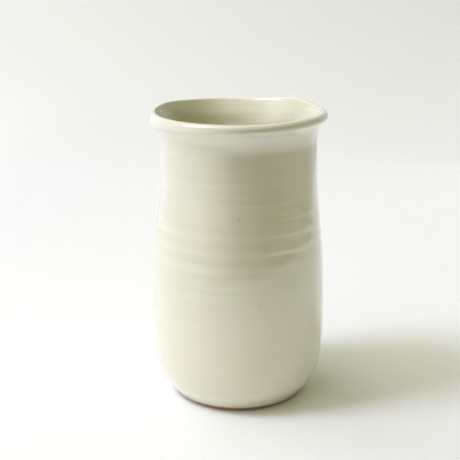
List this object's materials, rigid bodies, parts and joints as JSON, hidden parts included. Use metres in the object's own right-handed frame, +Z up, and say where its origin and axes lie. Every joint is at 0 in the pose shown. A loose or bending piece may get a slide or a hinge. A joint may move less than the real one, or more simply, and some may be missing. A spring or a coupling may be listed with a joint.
{
  "type": "vase",
  "caption": "Wheel-thrown porcelain flower vase: tall rounded cylinder, slight neck, flared rolled lip, pale celadon glaze, bare trimmed foot ring.",
  "frame": {"origin": "centre of the foot, on the surface that the vase stands on", "axes": "+Z up along the axis of the wheel, towards the mouth; the pot is round, so X and Y are any two directions square to it"},
  "size_m": [0.104, 0.104, 0.1735],
  "materials": {
    "bare_clay": "bare fired porcelain, matt and finely grained",
    "celadon_glaze": "pale grey-green celadon, glossy, a little thicker and greener where it pools",
    "celadon_liner": "the same celadon poured round the inside, glossy"
  },
  "bodies": {
    "root": {"clay_body": "bare_clay", "outer_glaze": "celadon_glaze", "inner_glaze": "celadon_liner", "foot_glaze": "celadon_glaze"}
  },
  "joints": []
}
